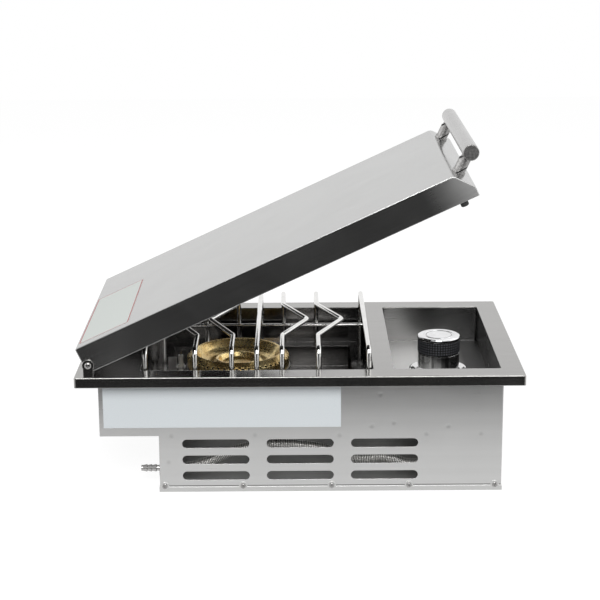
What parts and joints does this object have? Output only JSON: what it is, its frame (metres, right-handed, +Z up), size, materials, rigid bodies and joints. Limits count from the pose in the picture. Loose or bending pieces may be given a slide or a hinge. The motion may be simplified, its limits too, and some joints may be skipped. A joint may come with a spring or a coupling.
{
  "type": "built in side burner",
  "caption": "Drop-in outdoor gas side burner with a hinged lid and tube handle, rod grate, brass ring burner, recessed push-and-turn knob and vented steel housing.",
  "frame": {"origin": "middle of the underside of the bottom pan, centred on the whole outline at rest", "axes": "+Z up; -Y towards the user (knob and handle), +Y towards the hinge and gas inlet; +X to the user's right"},
  "size_m": [0.3398, 0.53, 0.4164],
  "materials": {
    "frame_steel": "satin brushed along the length",
    "lid_steel": "satin brushed, softly mirroring",
    "body_steel": "bright plain sheet",
    "well_steel": "polished sheet",
    "tube_steel": "plain rolled steel",
    "chrome_rod": "bright plated",
    "handle_steel": "polished",
    "fastener_steel": "bright plated",
    "burner_brass": "cast and turned, lightly toned",
    "casting": "sand cast, dull",
    "valve_brass": "machined",
    "ribbed_steel": "corrugated thin wall",
    "knob_black": "moulded, fine matt",
    "knob_chrome": "plated, turned rings",
    "bezel_chrome": "plated",
    "white_ceramic": "fired, smooth",
    "black_rubber": "soft matt",
    "plain_label": "coated sheet, blank",
    "plain_sticker": "coated sheet, blank"
  },
  "bodies": {
    "frame": {"top_frame": "frame_steel", "burner_well": "well_steel", "control_recess": "well_steel", "left_side_panel": "body_steel", "right_side_panel": "body_steel", "front_panel": "body_steel", "rear_upper_panel": "body_steel", "rear_lower_panel": "body_steel", "middle_floor": "body_steel", "divider_panel": "body_steel", "bottom_pan": "body_steel", "pan_screws": "fastener_steel", "burner_base": "casting", "mixing_tube": "tube_steel", "burner_bracket": "tube_steel", "igniter_bracket": "tube_steel", "igniter_ceramic": "white_ceramic", "igniter_electrode": "fastener_steel", "gas_valve": "valve_brass", "valve_screws": "fastener_steel", "gas_jet": "valve_brass", "inlet_elbow": "valve_brass", "flex_line": "ribbed_steel", "valve_flare_nut": "valve_brass", "inlet_flare_nut": "valve_brass", "inlet_barb": "fastener_steel", "knob_bezel": "bezel_chrome", "left_hinge_bracket": "frame_steel", "right_hinge_bracket": "frame_steel", "pivot_screws": "fastener_steel", "pivot_nuts": "fastener_steel", "side_label": "plain_label"},
    "lid": {"lid_shell": "lid_steel", "handle_tube": "handle_steel", "handle_end_caps": "handle_steel", "left_handle_post": "handle_steel", "right_handle_post": "handle_steel", "handle_screws": "fastener_steel", "lid_bumpers": "black_rubber", "lid_label": "plain_sticker"},
    "stem_washer": {"spring_washer": "fastener_steel"},
    "knob": {"valve_stem": "fastener_steel", "knob_body": "knob_chrome", "knob_grip": "knob_black", "knob_cap": "knob_chrome"},
    "grate": {"grate_left_rail": "chrome_rod", "grate_right_rail": "chrome_rod", "grate_rod_1": "chrome_rod", "grate_rod_2": "chrome_rod", "grate_rod_3": "chrome_rod", "grate_rod_4": "chrome_rod", "grate_rod_5": "chrome_rod", "grate_rod_6": "chrome_rod", "grate_rod_7": "chrome_rod"},
    "burner_head": {"burner_head": "burner_brass"}
  },
  "joints": [
    {"name": "lid_hinge", "type": "hinge", "parent": "frame", "child": "lid", "pos_m": [0, 0.2475, 0.163], "axis": [-1, 0, 0], "range_deg": [-24.8, 65.2]},
    {"name": "knob_push", "type": "slide", "parent": "frame", "child": "stem_washer", "axis": [0, 0, -1], "range_m": [0, 0.003], "stiffness_N_per_m": 1500, "springref_m": -0.004},
    {"name": "knob_turn", "type": "hinge", "parent": "stem_washer", "child": "knob", "pos_m": [0, -0.1762, 0.12], "axis": [0, 0, 1], "range_deg": [0, 210]},
    {"name": "grate_lift", "type": "slide", "parent": "frame", "child": "grate", "axis": [0, 0, 1], "range_m": [0, 0.03]},
    {"name": "burner_head_lift", "type": "slide", "parent": "frame", "child": "burner_head", "axis": [0, 0, 1], "range_m": [0, 0.025]}
  ]
}
